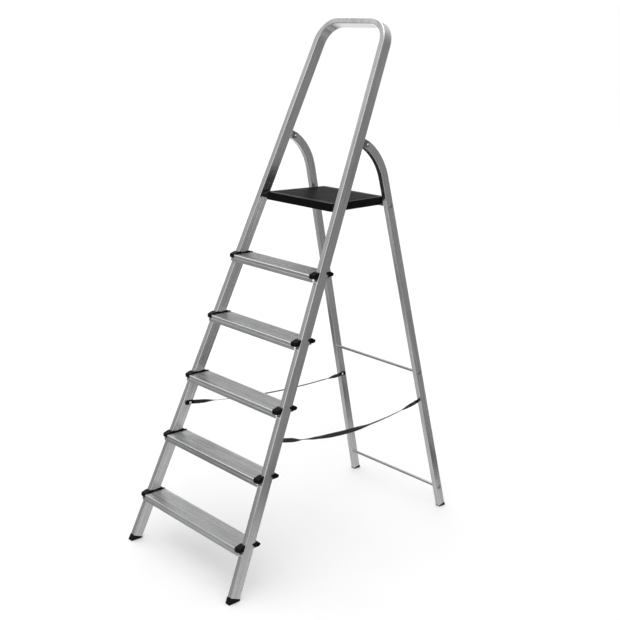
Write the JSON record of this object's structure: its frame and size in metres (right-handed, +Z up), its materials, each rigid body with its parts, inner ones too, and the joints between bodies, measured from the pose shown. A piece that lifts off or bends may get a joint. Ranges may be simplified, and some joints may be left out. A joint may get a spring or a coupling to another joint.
{
  "type": "step ladder",
  "caption": "Folding aluminium step ladder with ribbed treads, a black plastic platform, a hoop handrail, a hinged rear frame and webbing stay straps.",
  "frame": {"origin": "on the floor, under the middle of the ladder as it stands open", "axes": "+X to a climber's right, +Y from the treads towards the rear legs, +Z up"},
  "size_m": [0.6022, 1.1154, 1.8517],
  "materials": {
    "aluminium": "satin mill finish",
    "tread_aluminium": "satin, ribbed",
    "steel": "plain",
    "black_plastic": "matt",
    "platform_plastic": "fine grain",
    "webbing": "woven"
  },
  "bodies": {
    "front_frame": {"front_frame_tube": "aluminium", "platform_axle": "steel", "tread_1": "tread_aluminium", "tread_2": "tread_aluminium", "tread_3": "tread_aluminium", "tread_4": "tread_aluminium", "tread_5": "tread_aluminium", "front_foot_left": "black_plastic", "tread_cap_left_1": "black_plastic", "tread_cap_left_2": "black_plastic", "tread_cap_left_3": "black_plastic", "tread_cap_left_4": "black_plastic", "tread_cap_left_5": "black_plastic", "hinge_bracket_left": "steel", "hinge_rivet_left": "steel", "axle_bush_left": "black_plastic", "strap_clip_front_left": "black_plastic", "strap_rivet_front_left": "steel", "strap_left": "webbing", "front_foot_right": "black_plastic", "tread_cap_right_1": "black_plastic", "tread_cap_right_2": "black_plastic", "tread_cap_right_3": "black_plastic", "tread_cap_right_4": "black_plastic", "tread_cap_right_5": "black_plastic", "hinge_bracket_right": "steel", "hinge_rivet_right": "steel", "axle_bush_right": "black_plastic", "strap_clip_front_right": "black_plastic", "strap_rivet_front_right": "steel", "strap_right": "webbing"},
    "rear_frame": {"lower_crossbar": "aluminium", "upper_crossbar": "aluminium", "platform_support_bar": "aluminium", "rear_leg_left": "aluminium", "rear_foot_left": "black_plastic", "strap_clip_rear_left": "black_plastic", "strap_rivet_rear_left": "steel", "rear_leg_right": "aluminium", "rear_foot_right": "black_plastic", "strap_clip_rear_right": "black_plastic", "strap_rivet_rear_right": "steel"},
    "platform_tray": {"platform": "platform_plastic"}
  },
  "joints": [
    {"name": "rear_frame_fold", "type": "hinge", "parent": "front_frame", "child": "rear_frame", "pos_m": [0, 0.11706, 1.43732], "axis": [-1, 0, 0], "range_deg": [0, 36], "deforming": ["strap_left", "strap_right"]},
    {"name": "platform_fold", "type": "hinge", "parent": "front_frame", "child": "platform_tray", "pos_m": [0, -0.01291, 1.231], "axis": [1, 0, 0], "range_deg": [0, 66.6]}
  ],
  "couplings": [
    {"joint": "platform_fold", "follows": "rear_frame_fold", "ratio": 1.85}
  ]
}
